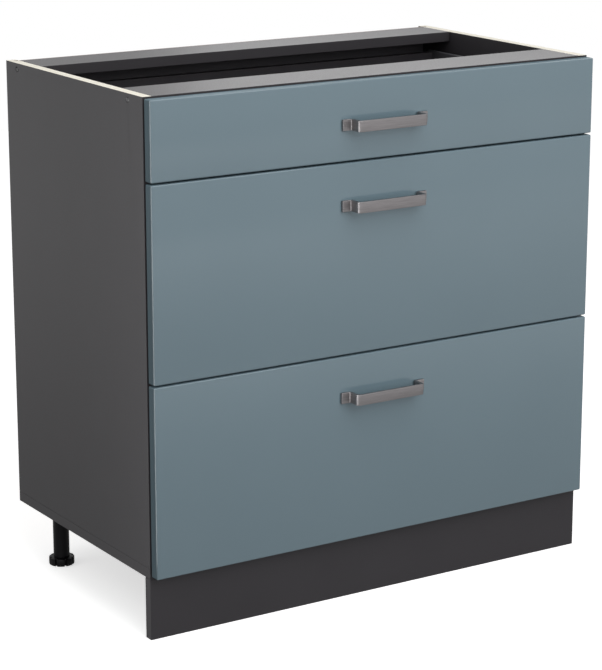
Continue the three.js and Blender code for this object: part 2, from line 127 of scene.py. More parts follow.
def melamineBoard(name, tone="face", rawTop=False):
    material, tree = newMaterial(name)
    place = addNode(tree, "TexCoord").outputs["Object"]
    pearl = addNode(
        tree, "TexNoise", {"Vector": place, "Scale": metre / boardFinish["pearl"], "Detail": 3.0}
    )
    cloud = addNode(
        tree, "TexNoise", {"Vector": place, "Scale": metre / boardFinish["cloud"], "Detail": 4.0}
    )
    paper = addNode(
        tree, "Mix",
        {0: cloud.outputs["Fac"], 6: linear(boardFinish[tone]), 7: linear(boardFinish["fleck"])},
        data_type="RGBA",
    )
    bump = addNode(
        tree, "Bump",
        {"Height": pearl.outputs["Fac"], "Distance": boardFinish["pearlDepth"] * mm, "Strength": 1.0},
    )
    (least, most), (smooth, rough) = boardFinish["pearlRange"], boardFinish["roughness"]
    spread = addNode(
        tree, "MapRange",
        {"Value": pearl.outputs["Fac"], "From Min": least, "From Max": most,
         "To Min": smooth, "To Max": rough},
    )
    colour, roughness = paper.outputs[2], spread.outputs[0]
    if rawTop:
        normal = addNode(tree, "NewGeometry").outputs["True Normal"]
        up = addNode(tree, "SeparateXYZ", {0: normal}).outputs["Z"]
        raw = addNode(tree, "Math", {0: up, 1: boardFinish["rawUp"]}, operation="GREATER_THAN").outputs[0]
        chips = addNode(tree, "TexVoronoi", {"Vector": place, "Scale": metre / boardFinish["chip"]})
        chipTone = addNode(tree, "SeparateColor", {0: chips.outputs["Color"]}).outputs[0]
        chipboard = addNode(
            tree, "ValToRGB", {0: chipTone},
            stops=[(0.0, linear(boardFinish["rawEdge"])), (1.0, linear(boardFinish["rawChip"]))],
        )
        colour = addNode(
            tree, "Mix", {0: raw, 6: colour, 7: chipboard.outputs["Color"]}, data_type="RGBA"
        ).outputs[2]
        roughness = addNode(
            tree, "Mix", {0: raw, 2: roughness, 3: boardFinish["rawRoughness"]}, data_type="FLOAT"
        ).outputs[0]
    shader = addNode(
        tree, "BsdfPrincipled",
        {"Base Color": colour, "Roughness": roughness, "Normal": bump.outputs[0], "IOR": 1.5,
         "Specular IOR Level": boardFinish["sheen"]},
    )
    addNode(tree, "OutputMaterial", {"Surface": shader.outputs[0]})
    return material


# Thin hardboard, printed anthracite inside and left as brown pressed fibre on the side to the wall.
backFinish = {
    # The printed side is lighter than the carcass boards: painted light that lifts the deep shade behind the
    # drawers.
    "inside": "#4c4a4e",
    "insideTurn": -0.5,  # the printed side's normal has less than this along Y
    "fibre": "#6b4c33",
    "fibreLight": "#83603f",
    "fibreRange": (0.35, 0.65),  # of the noise, from the one brown to the other
    "fibreLength": 6.0,
    "fibreDepth": 0.05,
    "roughness": 0.6,
}


def pressedHardboard(name):
    material, tree = newMaterial(name)
    place = addNode(tree, "TexCoord").outputs["Object"]
    fibre = addNode(
        tree, "TexNoise",
        {"Vector": place, "Scale": metre / backFinish["fibreLength"], "Detail": 8.0, "Roughness": 0.7,
         "Distortion": 1.5},
    )
    dark, light = backFinish["fibreRange"]
    brown = addNode(
        tree, "ValToRGB", {0: fibre.outputs["Fac"]},
        stops=[(dark, linear(backFinish["fibre"])), (light, linear(backFinish["fibreLight"]))],
    )
    normal = addNode(tree, "NewGeometry").outputs["True Normal"]
    outward = addNode(tree, "SeparateXYZ", {0: normal}).outputs["Y"]
    printed = addNode(
        tree, "Math", {0: outward, 1: backFinish["insideTurn"]}, operation="LESS_THAN"
    ).outputs[0]
    colour = addNode(
        tree, "Mix",
        {0: printed, 6: brown.outputs["Color"], 7: linear(backFinish["inside"])},
        data_type="RGBA",
    )
    bump = addNode(
        tree, "Bump",
        {"Height": fibre.outputs["Fac"], "Distance": backFinish["fibreDepth"] * mm, "Strength": 0.6},
    )
    shader = addNode(
        tree, "BsdfPrincipled",
        {"Base Color": colour.outputs[2], "Roughness": backFinish["roughness"], "Normal": bump.outputs[0],
         "IOR": 1.5},
    )
    addNode(tree, "OutputMaterial", {"Surface": shader.outputs[0]})
    return material


# High-gloss lacquer foil pressed over fibreboard: a coloured film under a clear, hard top coat whose
# slow waviness bends reflections a little. The coat is thin on the edges, where the foil is stretched,
# and the back keeps the board's white melamine.
frontFinish = {
    "lacquer": "#6c7f88",
    "lacquerDeep": "#687b84",
    "tone": 180.0,  # mm, slow change of tone over the sheet
    "back": "#d4d4d1",
    "backTurn": 0.99,  # the back's normal has more than this along Y
    "wave": 45.0,  # mm, the long waves of pressed foil
    "waveDepth": 0.035,
    "roughness": 0.35,
    "filmSheen": 0.0,  # specular level of the film: it lies under the coat and meets no air
    "coatRoughness": 0.08,
    "edgeCoat": 0.12,  # coat left on the edges
    "edgeTurn": (-0.3, -0.05),  # where it thins, by the normal's part along Y
}


def glossLacquer(name):
    material, tree = newMaterial(name)
    place = addNode(tree, "TexCoord").outputs["Object"]
    wave = addNode(tree, "TexNoise", {"Vector": place, "Scale": metre / frontFinish["wave"], "Detail": 1.0})
    tone = addNode(tree, "TexNoise", {"Vector": place, "Scale": metre / frontFinish["tone"], "Detail": 2.0})
    film = addNode(
        tree, "Mix",
        {0: tone.outputs["Fac"], 6: linear(frontFinish["lacquer"]), 7: linear(frontFinish["lacquerDeep"])},
        data_type="RGBA",
    )
    normal = addNode(tree, "NewGeometry").outputs["True Normal"]
    inward = addNode(tree, "SeparateXYZ", {0: normal}).outputs["Y"]
    back = addNode(
        tree, "Math", {0: inward, 1: frontFinish["backTurn"]}, operation="GREATER_THAN"
    ).outputs[0]
    colour = addNode(
        tree, "Mix", {0: back, 6: film.outputs[2], 7: linear(frontFinish["back"])}, data_type="RGBA"
    )
    face, edge = frontFinish["edgeTurn"]
    thinned = addNode(
        tree, "MapRange",
        {"Value": inward, "From Min": face, "From Max": edge,
         "To Min": 1.0, "To Max": frontFinish["edgeCoat"]},
    )
    coat = addNode(tree, "Mix", {0: back, 2: thinned.outputs[0], 3: 0.0}, data_type="FLOAT")
    bump = addNode(
        tree, "Bump",
        {"Height": wave.outputs["Fac"], "Distance": frontFinish["waveDepth"] * mm, "Strength": 1.0},
    )
    shader = addNode(
        tree, "BsdfPrincipled",
        {"Base Color": colour.outputs[2], "Roughness": frontFinish["roughness"], "IOR": 1.5,
         "Specular IOR Level": frontFinish["filmSheen"],
         "Coat Weight": coat.outputs[0], "Coat Roughness": frontFinish["coatRoughness"], "Coat IOR": 1.5,
         "Normal": bump.outputs[0], "Coat Normal": bump.outputs[0]},
    )
    addNode(tree, "OutputMaterial", {"Surface": shader.outputs[0]})
    return material


# Nickel-plated zinc, brushed along the strip and lacquered: a soft grey shine, streaked lengthways.
handleFinish = {
    "nickel": "#8b8889",
    "nickelDark": "#787576",
    "streak": 0.8,  # mm across a streak, drawn coarser than the real grit marks
    "streakLength": 40.0,
    "streakDepth": 0.01,
    "streakRange": (0.3, 0.7),  # of the noise, from the dark tone to the light one
    "roughness": (0.36, 0.52),
}


def brushedNickel(name):
    material, tree = newMaterial(name)
    place = addNode(tree, "TexCoord").outputs["Object"]
    long, fine = metre / handleFinish["streakLength"], metre / handleFinish["streak"]
    stretched = addNode(tree, "Mapping", {"Vector": place, "Scale": (long, long, fine)})
    streaks = addNode(tree, "TexNoise", {"Vector": stretched.outputs[0], "Scale": 1.0, "Detail": 4.0})
    (dark, light), (smooth, rough) = handleFinish["streakRange"], handleFinish["roughness"]
    colour = addNode(
        tree, "ValToRGB", {0: streaks.outputs["Fac"]},
        stops=[(dark, linear(handleFinish["nickelDark"])), (light, linear(handleFinish["nickel"]))],
    )
    spread = addNode(tree, "MapRange", {"Value": streaks.outputs["Fac"], "To Min": smooth, "To Max": rough})
    bump = addNode(
        tree, "Bump",
        {"Height": streaks.outputs["Fac"], "Distance": handleFinish["streakDepth"] * mm, "Strength": 0.5},
    )
    shader = addNode(
        tree, "BsdfPrincipled",
        {"Base Color": colour.outputs["Color"], "Metallic": 1.0, "Roughness": spread.outputs[0],
         "Normal": bump.outputs[0]},
    )
    addNode(tree, "OutputMaterial", {"Surface": shader.outputs[0]})
    return material


# Sheet steel with a baked powder coat: an even grey film with the fine orange peel of melted powder.
drawerFinish = {"coat": "#4b4b4e", "coatDark": "#464649", "peel": 1.6, "peelDepth": 0.02, "roughness": 0.36}


def powderCoatedSteel(name):
    material, tree = newMaterial(name)
    place = addNode(tree, "TexCoord").outputs["Object"]
    peel = addNode(tree, "TexNoise", {"Vector": place, "Scale": metre / drawerFinish["peel"], "Detail": 1.0})
    colour = addNode(
        tree, "Mix",
        {0: peel.outputs["Fac"], 6: linear(drawerFinish["coatDark"]), 7: linear(drawerFinish["coat"])},
        data_type="RGBA",
    )
    bump = addNode(
        tree, "Bump",
        {"Height": peel.outputs["Fac"], "Distance": drawerFinish["peelDepth"] * mm, "Strength": 1.0},
    )
    shader = addNode(
        tree, "BsdfPrincipled",
        {"Base Color": colour.outputs[2], "Roughness": drawerFinish["roughness"], "IOR": 1.5,
         "Normal": bump.outputs[0]},
    )
    addNode(tree, "OutputMaterial", {"Surface": shader.outputs[0]})
    return material


# Rolled and zinc-plated steel: a cool bright grey, with the faint patches of the zinc's crystals.
zincFinish = {"zinc": "#b4b8bb", "zincDark": "#9a9fa3", "patch": 7.0, "roughness": (0.3, 0.44)}


def zincPlatedSteel(name):
    material, tree = newMaterial(name)
    place = addNode(tree, "TexCoord").outputs["Object"]
    patches = addNode(tree, "TexVoronoi", {"Vector": place, "Scale": metre / zincFinish["patch"]})
    tone = addNode(tree, "SeparateColor", {0: patches.outputs["Color"]}).outputs[0]
    colour = addNode(
        tree, "Mix",
        {0: tone, 6: linear(zincFinish["zincDark"]), 7: linear(zincFinish["zinc"])},
        data_type="RGBA",
    )
    smooth, rough = zincFinish["roughness"]
    spread = addNode(tree, "MapRange", {"Value": tone, "To Min": smooth, "To Max": rough})
    shader = addNode(
        tree, "BsdfPrincipled",
        {"Base Color": colour.outputs[2], "Metallic": 1.0, "Roughness": spread.outputs[0]},
    )
    addNode(tree, "OutputMaterial", {"Surface": shader.outputs[0]})
    return material


# Injection-moulded plastics, their skin finely eroded for soft highlights: white nylon rollers and black
# polypropylene legs. The screw caps come from a polished mould, so they shine.
plasticFinishes = {
    "nylon": {
        "colour": "#dfddd6", "shade": "#d2d0c8", "grain": 1.5, "depth": 0.01,
        "roughness": 0.42, "ior": 1.53, "sheen": 0.5,
    },
    "polypropylene": {
        "colour": "#121114", "shade": "#0e0d0f", "grain": 1.2, "depth": 0.02,
        "roughness": 0.45, "ior": 1.49, "sheen": 0.12,
    },
    "polystyrene": {
        "colour": "#141315", "shade": "#111012", "grain": 2.0, "depth": 0.002,
        "roughness": 0.16, "ior": 1.59, "sheen": 0.5,
    },
}


def mouldedPlastic(name, finish):
    material, tree = newMaterial(name)
    place = addNode(tree, "TexCoord").outputs["Object"]
    grain = addNode(tree, "TexNoise", {"Vector": place, "Scale": metre / finish["grain"], "Detail": 2.0})
    colour = addNode(
        tree, "Mix",
        {0: grain.outputs["Fac"], 6: linear(finish["shade"]), 7: linear(finish["colour"])},
        data_type="RGBA",
    )
    bump = addNode(
        tree, "Bump", {"Height": grain.outputs["Fac"], "Distance": finish["depth"] * mm, "Strength": 1.0}
    )
    shader = addNode(
        tree, "BsdfPrincipled",
        {"Base Color": colour.outputs[2], "Roughness": finish["roughness"], "IOR": finish["ior"],
         "Specular IOR Level": finish["sheen"], "Normal": bump.outputs[0]},
    )
    addNode(tree, "OutputMaterial", {"Surface": shader.outputs[0]})
    return material


carcassBoard = melamineBoard("melamine_board")
# the drawers' boards take the darker tone, which is painted shade
drawerBoard = melamineBoard("melamine_drawer_board", tone="drawerShadedFace")
sideBoard = melamineBoard("melamine_board_raw_top", rawTop=True)
hardboard = pressedHardboard("pressed_hardboard")
lacquer = glossLacquer("gloss_lacquer")
nickel = brushedNickel("brushed_nickel")
drawerSteel = powderCoatedSteel("powder_coated_steel")
zincSteel = zincPlatedSteel("zinc_plated_steel")
whiteNylon = mouldedPlastic("moulded_nylon", plasticFinishes["nylon"])
blackPlastic = mouldedPlastic("moulded_polypropylene", plasticFinishes["polypropylene"])
capPlastic = mouldedPlastic("moulded_polystyrene", plasticFinishes["polystyrene"])
print("materials:", len(bpy.data.materials))


# The shapes below are drawn as bmesh shapes; this turns one into a mesh and frees it.
def meshOf(shape, name):
    mesh = bpy.data.meshes.new(name)
    shape.to_mesh(mesh)
    shape.free()
    return mesh


def finishPiece(name, shape, body, material, replaced=(), sharpAngle=35):
    bmesh.ops.recalc_face_normals(shape, faces=shape.faces)
    mesh = meshOf(shape, name)
    mesh.materials.append(material)
    mesh.shade_smooth()
    mesh.set_sharp_from_angle(angle=math.radians(sharpAngle))
    piece = bpy.data.objects.new(name, mesh)
    scene.collection.objects.link(piece)
    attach(piece, body)
    if replaced:
        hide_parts(*replaced)


# Skins a row of rings, each a list of points; a ring of one point closes that end to a tip.
def skin(shape, rings, looped=False):
    rows = [[shape.verts.new(point) for point in ring] for ring in rings]
    pairs = list(zip(rows, rows[1:]))
    if looped:
        pairs.append((rows[-1], rows[0]))
    for first, second in pairs:
        count = max(len(first), len(second))
        for i in range(count):
            j = (i + 1) % count
            if len(first) == 1:
                shape.faces.new((first[0], second[i], second[j]))
            elif len(second) == 1:
                shape.faces.new((first[i], first[j], second[0]))
            else:
                shape.faces.new((first[i], first[j], second[j], second[i]))
    if not looped:
        for row in (rows[0], rows[-1]):
            if len(row) > 2:
                shape.faces.new(row)
    return shape


# A solid of revolution about Z from [radius, height] points in mm. It closes on itself where looped.
def turn(profile, looped=False, steps=48):
    def ring(radius, height):
        if radius == 0:
            return [(0, 0, height * mm)]
        angles = [2 * math.pi * i / steps for i in range(steps)]
        return [(radius * mm * math.cos(a), radius * mm * math.sin(a), height * mm) for a in angles]

    return skin(bmesh.new(), [ring(*point) for point in profile], looped=looped)


# The lower half of a profile and, above it, the same half mirrored.
def mirrored(half, height):
    return half + [[radius, height - z] for radius, z in reversed(half)]


# Turns +Z into the given axis and moves the shape there.
def setDown(shape, place, axis="z"):
    turns = {
        "z": Matrix.Identity(4),
        "-z": Matrix.Rotation(math.pi, 4, "X"),
        "x": Matrix.Rotation(math.pi / 2, 4, "Y"),
        "-x": Matrix.Rotation(-math.pi / 2, 4, "Y"),
        "y": Matrix.Rotation(-math.pi / 2, 4, "X"),
    }
    bmesh.ops.transform(shape, matrix=Matrix.Translation(place) @ turns[axis], verts=shape.verts)
    return shape


def joined(shapes):
    whole = bmesh.new()
    for shape in shapes:
        mesh = meshOf(shape, "part")
        whole.from_mesh(mesh)
        bpy.data.meshes.remove(mesh)
    return whole


# Gives a solid of the frame its finish, and rounds its edges by a real edge radius.
edgeRounding = {
    "radius": {"board": 0.5, "sheet": 0.2, "moulding": 0.4},
    "steps": 2,
    "leastAngle": 40,  # degrees between two faces; flatter edges stay as they are
    "weld": 0.01,  # joins the points that neighbouring faces share
}


def dress(node, material, edge):
    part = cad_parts[node]
    part.data.materials.clear()
    part.data.materials.append(material)
    weld = part.modifiers.new("weld", "WELD")
    weld.merge_threshold = edgeRounding["weld"] * mm
    rounding = part.modifiers.new("edges", "BEVEL")
    rounding.width = edgeRounding["radius"][edge] * mm
    rounding.segments = edgeRounding["steps"]
    rounding.limit_method = "ANGLE"
    rounding.angle_limit = math.radians(edgeRounding["leastAngle"])
    rounding.harden_normals = True


for side in sides:
    dress("side_panel_" + side, sideBoard, "board")
    dress("plinth_clip_" + side, blackPlastic, "moulding")
for node in ("bottom_panel", "front_rail", "rear_rail", "plinth_board"):
    dress(node, carcassBoard, "board")
dress("back_panel", hardboard, "sheet")
for drawer in drawerNames:
    dress(drawer + "_bottom_board", drawerBoard, "board")
    dress(drawer + "_back_board", drawerBoard, "board")
    for side in sides:
        dress(f"{drawer}_side_{side}", drawerSteel, "sheet")
        dress(f"{drawer}_runner_{side}", zincSteel, "sheet")
print("boards and sheet metal dressed")


# Every edge of a front is rounded but those round its back.
frontShape = {"edgeRadius": 2.2, "edgeSteps": 6}


def frontBoard(node):
    low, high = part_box(node)
    size = Matrix.Diagonal((*(high - low), 1))
    shape = bmesh.new()
    bmesh.ops.create_cube(shape, size=1, matrix=Matrix.Translation((low + high) / 2) @ size)
    rounded = [edge for edge in shape.edges if any(abs(vert.co.y - high.y) > mm for vert in edge.verts)]
    bmesh.ops.bevel(
        shape, geom=rounded, offset=frontShape["edgeRadius"] * mm, segments=frontShape["edgeSteps"],
        profile=0.5, affect="EDGES", clamp_overlap=True,
    )
    return shape


for drawer in drawerNames:
    board = frontBoard(drawer + "_front")
    finishPiece(
        drawer + "_front_board", board, drawer + "_drawer", lacquer, [drawer + "_front"]
    )
print("drawer fronts made")


handleShape = {
    "thickness": 4.5,
    "insideBend": 1.5,
    "bendSteps": 8,
    "edgeRadius": 0.7,
    "edgeSteps": 3,
    "endEdge": 0.42,  # at the two ends of the strip
    "riserWidth": 124,  # over the two risers
}


# Points and directions along the strip's middle line, from the left foot's end to the right one's.
def handleLine(low, high):
    half = handleShape["thickness"] / 2 * mm
    riser = handleShape["riserWidth"] / 2 * mm - half
    bend = handleShape["insideBend"] * mm + half
    centre = (low.x + high.x) / 2
    foot, bar = high.y - half, low.y + half
    corners = [Vector((x, y)) for x, y in ((-riser, foot), (-riser, bar), (riser, bar), (riser, foot))]
    ends = [Vector((low.x - centre, foot)), Vector((high.x - centre, foot))]
    route = [ends[0], *corners, ends[1]]
    line = []
    for before, corner, after in zip(route, route[1:], route[2:]):
        arrive, leave = (corner - before).normalized(), (after - corner).normalized()
        middle = corner - arrive * bend + leave * bend
        for i in range(handleShape["bendSteps"] + 1):
            angle = math.pi / 2 * i / handleShape["bendSteps"]
            point = middle - leave * bend * math.cos(angle) + arrive * bend * math.sin(angle)
            line.append((point, arrive * math.cos(angle) + leave * math.sin(angle)))
    start, end = (ends[0], Vector((1, 0))), (ends[1], Vector((1, 0)))
    return [(point + Vector((centre, 0)), along) for point, along in [start, *line, end]]


def handleStrip(node):
    low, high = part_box(node)
    radius = handleShape["edgeRadius"] * mm
    halfHeight, middle = (high.z - low.z) / 2, (high.z + low.z) / 2
    halfThickness = handleShape["thickness"] / 2 * mm

    def ring(point, along, inset=0.0):
        across = Vector((-along.y, along.x))
        outline = []
        for outward, upward in ((1, 1), (-1, 1), (-1, -1), (1, -1)):
            start = math.atan2(upward, outward) - math.pi / 4
            for i in range(handleShape["edgeSteps"] + 1):
                angle = start + math.pi / 2 * i / handleShape["edgeSteps"]
                u = outward * (halfThickness - radius) + (radius - inset) * math.cos(angle)
                v = upward * (halfHeight - radius) + (radius - inset) * math.sin(angle)
                outline.append(Vector((point.x + across.x * u, point.y + across.y * u, middle + v)))
        return outline

    line = handleLine(low, high)
    (first, along), (last, _) = line[0], line[-1]
    edge = handleShape["endEdge"] * mm
    rings = [ring(first, along, edge), ring(first + along * edge, along)]
    rings += [ring(point, direction) for point, direction in line[1:-1]]
    rings += [ring(last - along * edge, along), ring(last, along, edge)]
    return skin(bmesh.new(), rings)


for drawer in drawerNames:
    strip = handleStrip(drawer + "_handle")
    finishPiece(
        drawer + "_handle_strip", strip, drawer + "_drawer", nickel, [drawer + "_handle"]
    )
print("handles made")


legShape = {
    "plate": 56,
    "plateThickness": 3,
    "plateCorner": 7.5,
    "cornerSteps": 6,
    "plateEdge": 0.5,  # rounding of its lower edge
    "topEdge": 0.3,  # and of its upper one
    "holeInset": 7.5,
    "collarRadius": 17,
    "collarTaper": 1.5,
    "collarHeight": 10,
    "collarEdge": ((-0.6, 0), (-0.2, 0.2), (0, 0.7)),  # out from the collar's lower corner, and up
    "collarSunk": 1,  # its reach into the plate
    "tubeRadius": 13,
    "tubeFillet": ((0, -0.8), (0.3, -0.2), (0.8, 0)),  # out from the tube, and up from the collar's base
    "tubeEdge": 0.6,
    "boreRadius": 8.8,
    "boreEdge": 0.4,
    "rib": 2,
    "ribStart": 3,  # above the collar's base
    "ribEnd": 2,  # its height under the plate at the outer end
    "ribRoot": 2,  # its reach into the collar
    "ribSunk": 0.5,  # its reach into the plate
}
footShape = {
    "radius": 20.5,
    "height": 12,
    "edge": 0.9,
    "edgeMiddle": 0.27,  # the rounded edge's middle point, from both sides of the corner
    "notches": 8,
    "firstNotch": math.pi / 5,  # from +X
    "notchWidth": 3.4,
    "notchDepth": 4.2,
    "arcSteps": 8,  # round a notch's end, and along the rim to the next notch
    "seat": 0.2,  # between the disc and the leg
    "stemRadius": 8,
    "stemSteps": 24,
    "stemTop": 58,
    "stemSunk": 1,  # into the disc
    "threadPitch": 4,
    "threadDepth": 0.9,
    "threadRise": 0.5,  # from one ring of points to the next
    "flankSlope": 3.08,  # share of the depth that a flank falls over one pitch
    "flankStart": 0.35,  # share taken off, which leaves the crest flat
}


def plateOutline(inset=0.0):
    half, corner = legShape["plate"] / 2 - inset, legShape["plateCorner"] - inset
    points = []
    for quarter in range(4):
        middle = math.pi / 4 + quarter * math.pi / 2
        x = math.copysign(half - corner, math.cos(middle))
        y = math.copysign(half - corner, math.sin(middle))
        for i in range(legShape["cornerSteps"] + 1):
            angle = quarter * math.pi / 2 + math.pi / 2 * i / legShape["cornerSteps"]
            points.append((x + corner * math.cos(angle), y + corner * math.sin(angle)))
    return points


# Plate, collar with four ribs, and tube in one moulding.
def legMoulding(x, y, top):
    height = top / mm
    plateBase = height - legShape["plateThickness"]
    collarBase = plateBase - legShape["collarHeight"]
    low = footShape["height"] + footShape["seat"]
    tube, bore, collar = legShape["tubeRadius"], legShape["boreRadius"], legShape["collarRadius"]
    tubeEdge, boreEdge = legShape["tubeEdge"], legShape["boreEdge"]
    collarLow, collarTop = collar - legShape["collarTaper"], plateBase + legShape["collarSunk"]
    post = turn([
        [bore, low + boreEdge], [bore + boreEdge, low], [tube - tubeEdge, low], [tube, low + tubeEdge],
        *[[tube + out, collarBase + up] for out, up in legShape["tubeFillet"]],
        *[[collarLow + out, collarBase + up] for out, up in legShape["collarEdge"]],
        [collar, collarTop], [bore, collarTop],
    ], looped=True)
    edge, topEdge = legShape["plateEdge"], legShape["topEdge"]
    levels = ((edge, plateBase), (0, plateBase + edge), (0, height - topEdge), (topEdge, height))
    plate = skin(bmesh.new(), [
        [(px * mm, py * mm, z * mm) for px, py in plateOutline(inset)] for inset, z in levels
    ])
    inner, outer = collarLow - legShape["ribRoot"], legShape["plate"] / 2 - legShape["holeInset"]
    ribBase, ribTop = collarBase + legShape["ribStart"], plateBase + legShape["ribSunk"]
    outline = [(inner, ribBase), (inner, ribTop), (outer, ribTop), (outer, plateBase - legShape["ribEnd"])]
    half = legShape["rib"] / 2
    ribs = []
    for quarter in range(4):
        rib = skin(bmesh.new(), [
            [(px * mm, py * mm, pz * mm) for px, pz in outline] for py in (-half, half)
        ])
        bmesh.ops.rotate(rib, matrix=Matrix.Rotation(quarter * math.pi / 2, 3, "Z"), verts=rib.verts)
        ribs.append(rib)
    return setDown(joined([post, plate, *ribs]), (x, y, 0))


# The disc's outline: slots with round ends, and the rim's arcs between them.
def footOutline():
    radius, notch, steps = footShape["radius"], footShape["notchWidth"] / 2, footShape["arcSteps"]
    centre = radius - footShape["notchDepth"] + notch
    half = math.asin(notch / radius)
    pitch = 2 * math.pi / footShape["notches"]
    points = []
    for i in range(footShape["notches"]):
        middle = footShape["firstNotch"] + i * pitch
        for step in range(steps + 1):
            angle = middle - math.pi / 2 - math.pi * step / steps
            points.append((centre * math.cos(middle) + notch * math.cos(angle),
                           centre * math.sin(middle) + notch * math.sin(angle)))
        for step in range(steps + 1):
            angle = middle + half + (pitch - 2 * half) * step / steps
            points.append((radius * math.cos(angle), radius * math.sin(angle)))
    return points


def footScrew(x, y):
    edge, middle = footShape["edge"], footShape["edgeMiddle"]
    outline = footOutline()

    def ring(inset, z):
        scales = [(px, py, 1 - inset / math.hypot(px, py)) for px, py in outline]
        return [(px * scale * mm, py * scale * mm, z * mm) for px, py, scale in scales]

    levels = mirrored([[edge, 0], [middle, middle], [0, edge]], footShape["height"])
    disc = skin(bmesh.new(), [ring(*level) for level in levels])
    return setDown(joined([disc, threadedStem()]), (x, y, 0))


# The stem's thread is one helix: each ring's radius follows the turn and the height.
def threadedStem():
    steps, rise = footShape["stemSteps"], footShape["threadRise"]
    base, top = footShape["height"] - footShape["stemSunk"], footShape["stemTop"]
    rings = []
    for level in range(int((top - base) / rise) + 1):
        z = base + level * rise
        ring = []
        for i in range(steps):
            phase = (z / footShape["threadPitch"] - i / steps) % 1
            flank = footShape["flankSlope"] * abs(phase - 0.5) - footShape["flankStart"]
            radius = footShape["stemRadius"] - footShape["threadDepth"] * min(1, max(0, flank))
            angle = 2 * math.pi * i / steps
            ring.append((radius * mm * math.cos(angle), radius * mm * math.sin(angle), z * mm))
        rings.append(ring)
    return skin(bmesh.new(), rings)


for end in frontAndRear:
    for side in sides:
        leg, foot = f"leg_{end}_{side}", f"foot_{end}_{side}"
        low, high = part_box(leg)
        x, y = (low.x + high.x) / 2, (low.y + high.y) / 2
        moulding, screw = legMoulding(x, y, high.z), footScrew(x, y)
        finishPiece(leg + "_moulding", moulding, "carcass", blackPlastic, [leg])
        finishPiece(foot + "_screw", screw, foot, blackPlastic, [foot])
print("legs and feet made")


rollerShape = {
    "radius": 10.5,
    "bore": 3.25,
    "hub": 5.4,
    "rimWidth": 2.6,
    "dish": 0.7,
    "dishSlope": 0.3,  # the width of the step down from the rim and from the hub
    "edge": 0.8,
    "edgeMiddle": 0.24,  # as on the feet
}


# A tyre with a dished web between its rim and its hub, about Z from 0 to the width.
def rollerTyre(width):
    outer, bore, hub = rollerShape["radius"], rollerShape["bore"], rollerShape["hub"]
    rim, dish, slope = outer - rollerShape["rimWidth"], rollerShape["dish"], rollerShape["dishSlope"]
    edge, middle = rollerShape["edge"], rollerShape["edgeMiddle"]
    half = [
        [bore, 0], [hub, 0], [hub + slope, dish], [rim - slope, dish], [rim, 0],
        [outer - edge, 0], [outer - middle, middle], [outer, edge],
    ]
    return turn(mirrored(half, width), looped=True)


galleryShape = {
    "rail": 5,
    "flange": 8.5,
    "flangeThickness": 2.5,
    "flangeEdge": 0.4,
    "fillet": ((0.8, 0), (0.2, 0.2), (0, 0.8)),  # out from the rail, and up from the flange
}


def galleryRail(length):
    rail, flange = galleryShape["rail"], galleryShape["flange"]
    thick, edge = galleryShape["flangeThickness"], galleryShape["flangeEdge"]
    half = [
        [0, 0], [flange - edge, 0], [flange, edge], [flange, thick - edge], [flange - edge, thick],
        *[[rail + out, thick + up] for out, up in galleryShape["fillet"]],
    ]
    return turn(mirrored(half, length))


for drawer in drawerNames:
    for side in sides:
        for end in frontAndRear:
            node = f"{drawer}_{end}_roller_{side}"
            low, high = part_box(node)
            middle = (low + high) / 2
            tyre = setDown(rollerTyre((high.x - low.x) / mm), (low.x, middle.y, middle.z), "x")
            finishPiece(node + "_tyre", tyre, node, whiteNylon, [node])
        if drawer != "top":
            node = f"{drawer}_gallery_{side}"
            low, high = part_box(node)
            middle = (low + high) / 2
            rail = setDown(galleryRail((high.y - low.y) / mm), (middle.x, low.y, middle.z), "y")
            finishPiece(node + "_rail", rail, drawer + "_drawer", drawerSteel, [node])
print("rollers and gallery rails made")


screwShapes = {
    "runner": {"radius": 3.6, "height": 1.1, "recess": 2.2, "slot": 0.55, "depth": 0.8},
    "board": {"radius": 3.6, "height": 1.6, "recess": 2.2, "slot": 0.55, "depth": 1.1},
    "handle": {"radius": 4.2, "height": 2.0, "recess": 2.4, "slot": 0.6, "depth": 1.2},
    "leg": {"radius": 3.4, "height": 1.8, "recess": 2.1, "slot": 0.55, "depth": 1.1},
}
screwForm = {
    "dome": ((0, 0), (1, 0), (1, 0.35), (0.86, 0.8), (0.55, 1), (0, 1)),  # shares of radius and height
    "domeSteps": 20,
    "recessBottom": 0.55,  # scale of the cross at its bottom
    "recessTop": 1.1,  # and where the cutter ends above the head
    "cutterAbove": 0.5,
}


# A domed head about Z, its cross recess cut by a tapered cross.
def screwHead(kind):
    sizes = screwShapes[kind]
    radius, height = sizes["radius"], sizes["height"]
    dome = turn(
        [[radius * out, height * up] for out, up in screwForm["dome"]], steps=screwForm["domeSteps"]
    )
    long, short = sizes["recess"], sizes["slot"]
    arm, cross = [(long, -short), (long, short), (short, short)], []
    for _ in range(4):
        cross += arm
        arm = [(-y, x) for x, y in arm]
    levels = (
        (screwForm["recessBottom"], height - sizes["depth"]),
        (screwForm["recessTop"], height + screwForm["cutterAbove"]),
    )
    cutter = skin(bmesh.new(), [
        [(x * scale * mm, y * scale * mm, z * mm) for x, y in cross] for scale, z in levels
    ])
    objects = []
    for shape in (dome, cutter):
        bmesh.ops.recalc_face_normals(shape, faces=shape.faces)
        objects.append(bpy.data.objects.new("screw", meshOf(shape, "screw")))
        scene.collection.objects.link(objects[-1])
    cut = objects[0].modifiers.new("recess", "BOOLEAN")
    cut.object, cut.operation, cut.solver = objects[1], "DIFFERENCE", "EXACT"
    graph = bpy.context.evaluated_depsgraph_get()
    head = bpy.data.meshes.new_from_object(objects[0].evaluated_get(graph))
    for item in objects:
        bpy.data.meshes.remove(item.data)
    return head


screwHeads = {kind: screwHead(kind) for kind in screwShapes}


# One piece for all the screws of a kind on a body: places are [point, the axis that the head faces].
def screwSet(name, kind, body, places):
    shapes = []
    for place, axis in places:
        shape = bmesh.new()
        shape.from_mesh(screwHeads[kind])
        shapes.append(setDown(shape, place, axis))
    finishPiece(name, joined(shapes), body, zincSteel, sharpAngle=30)


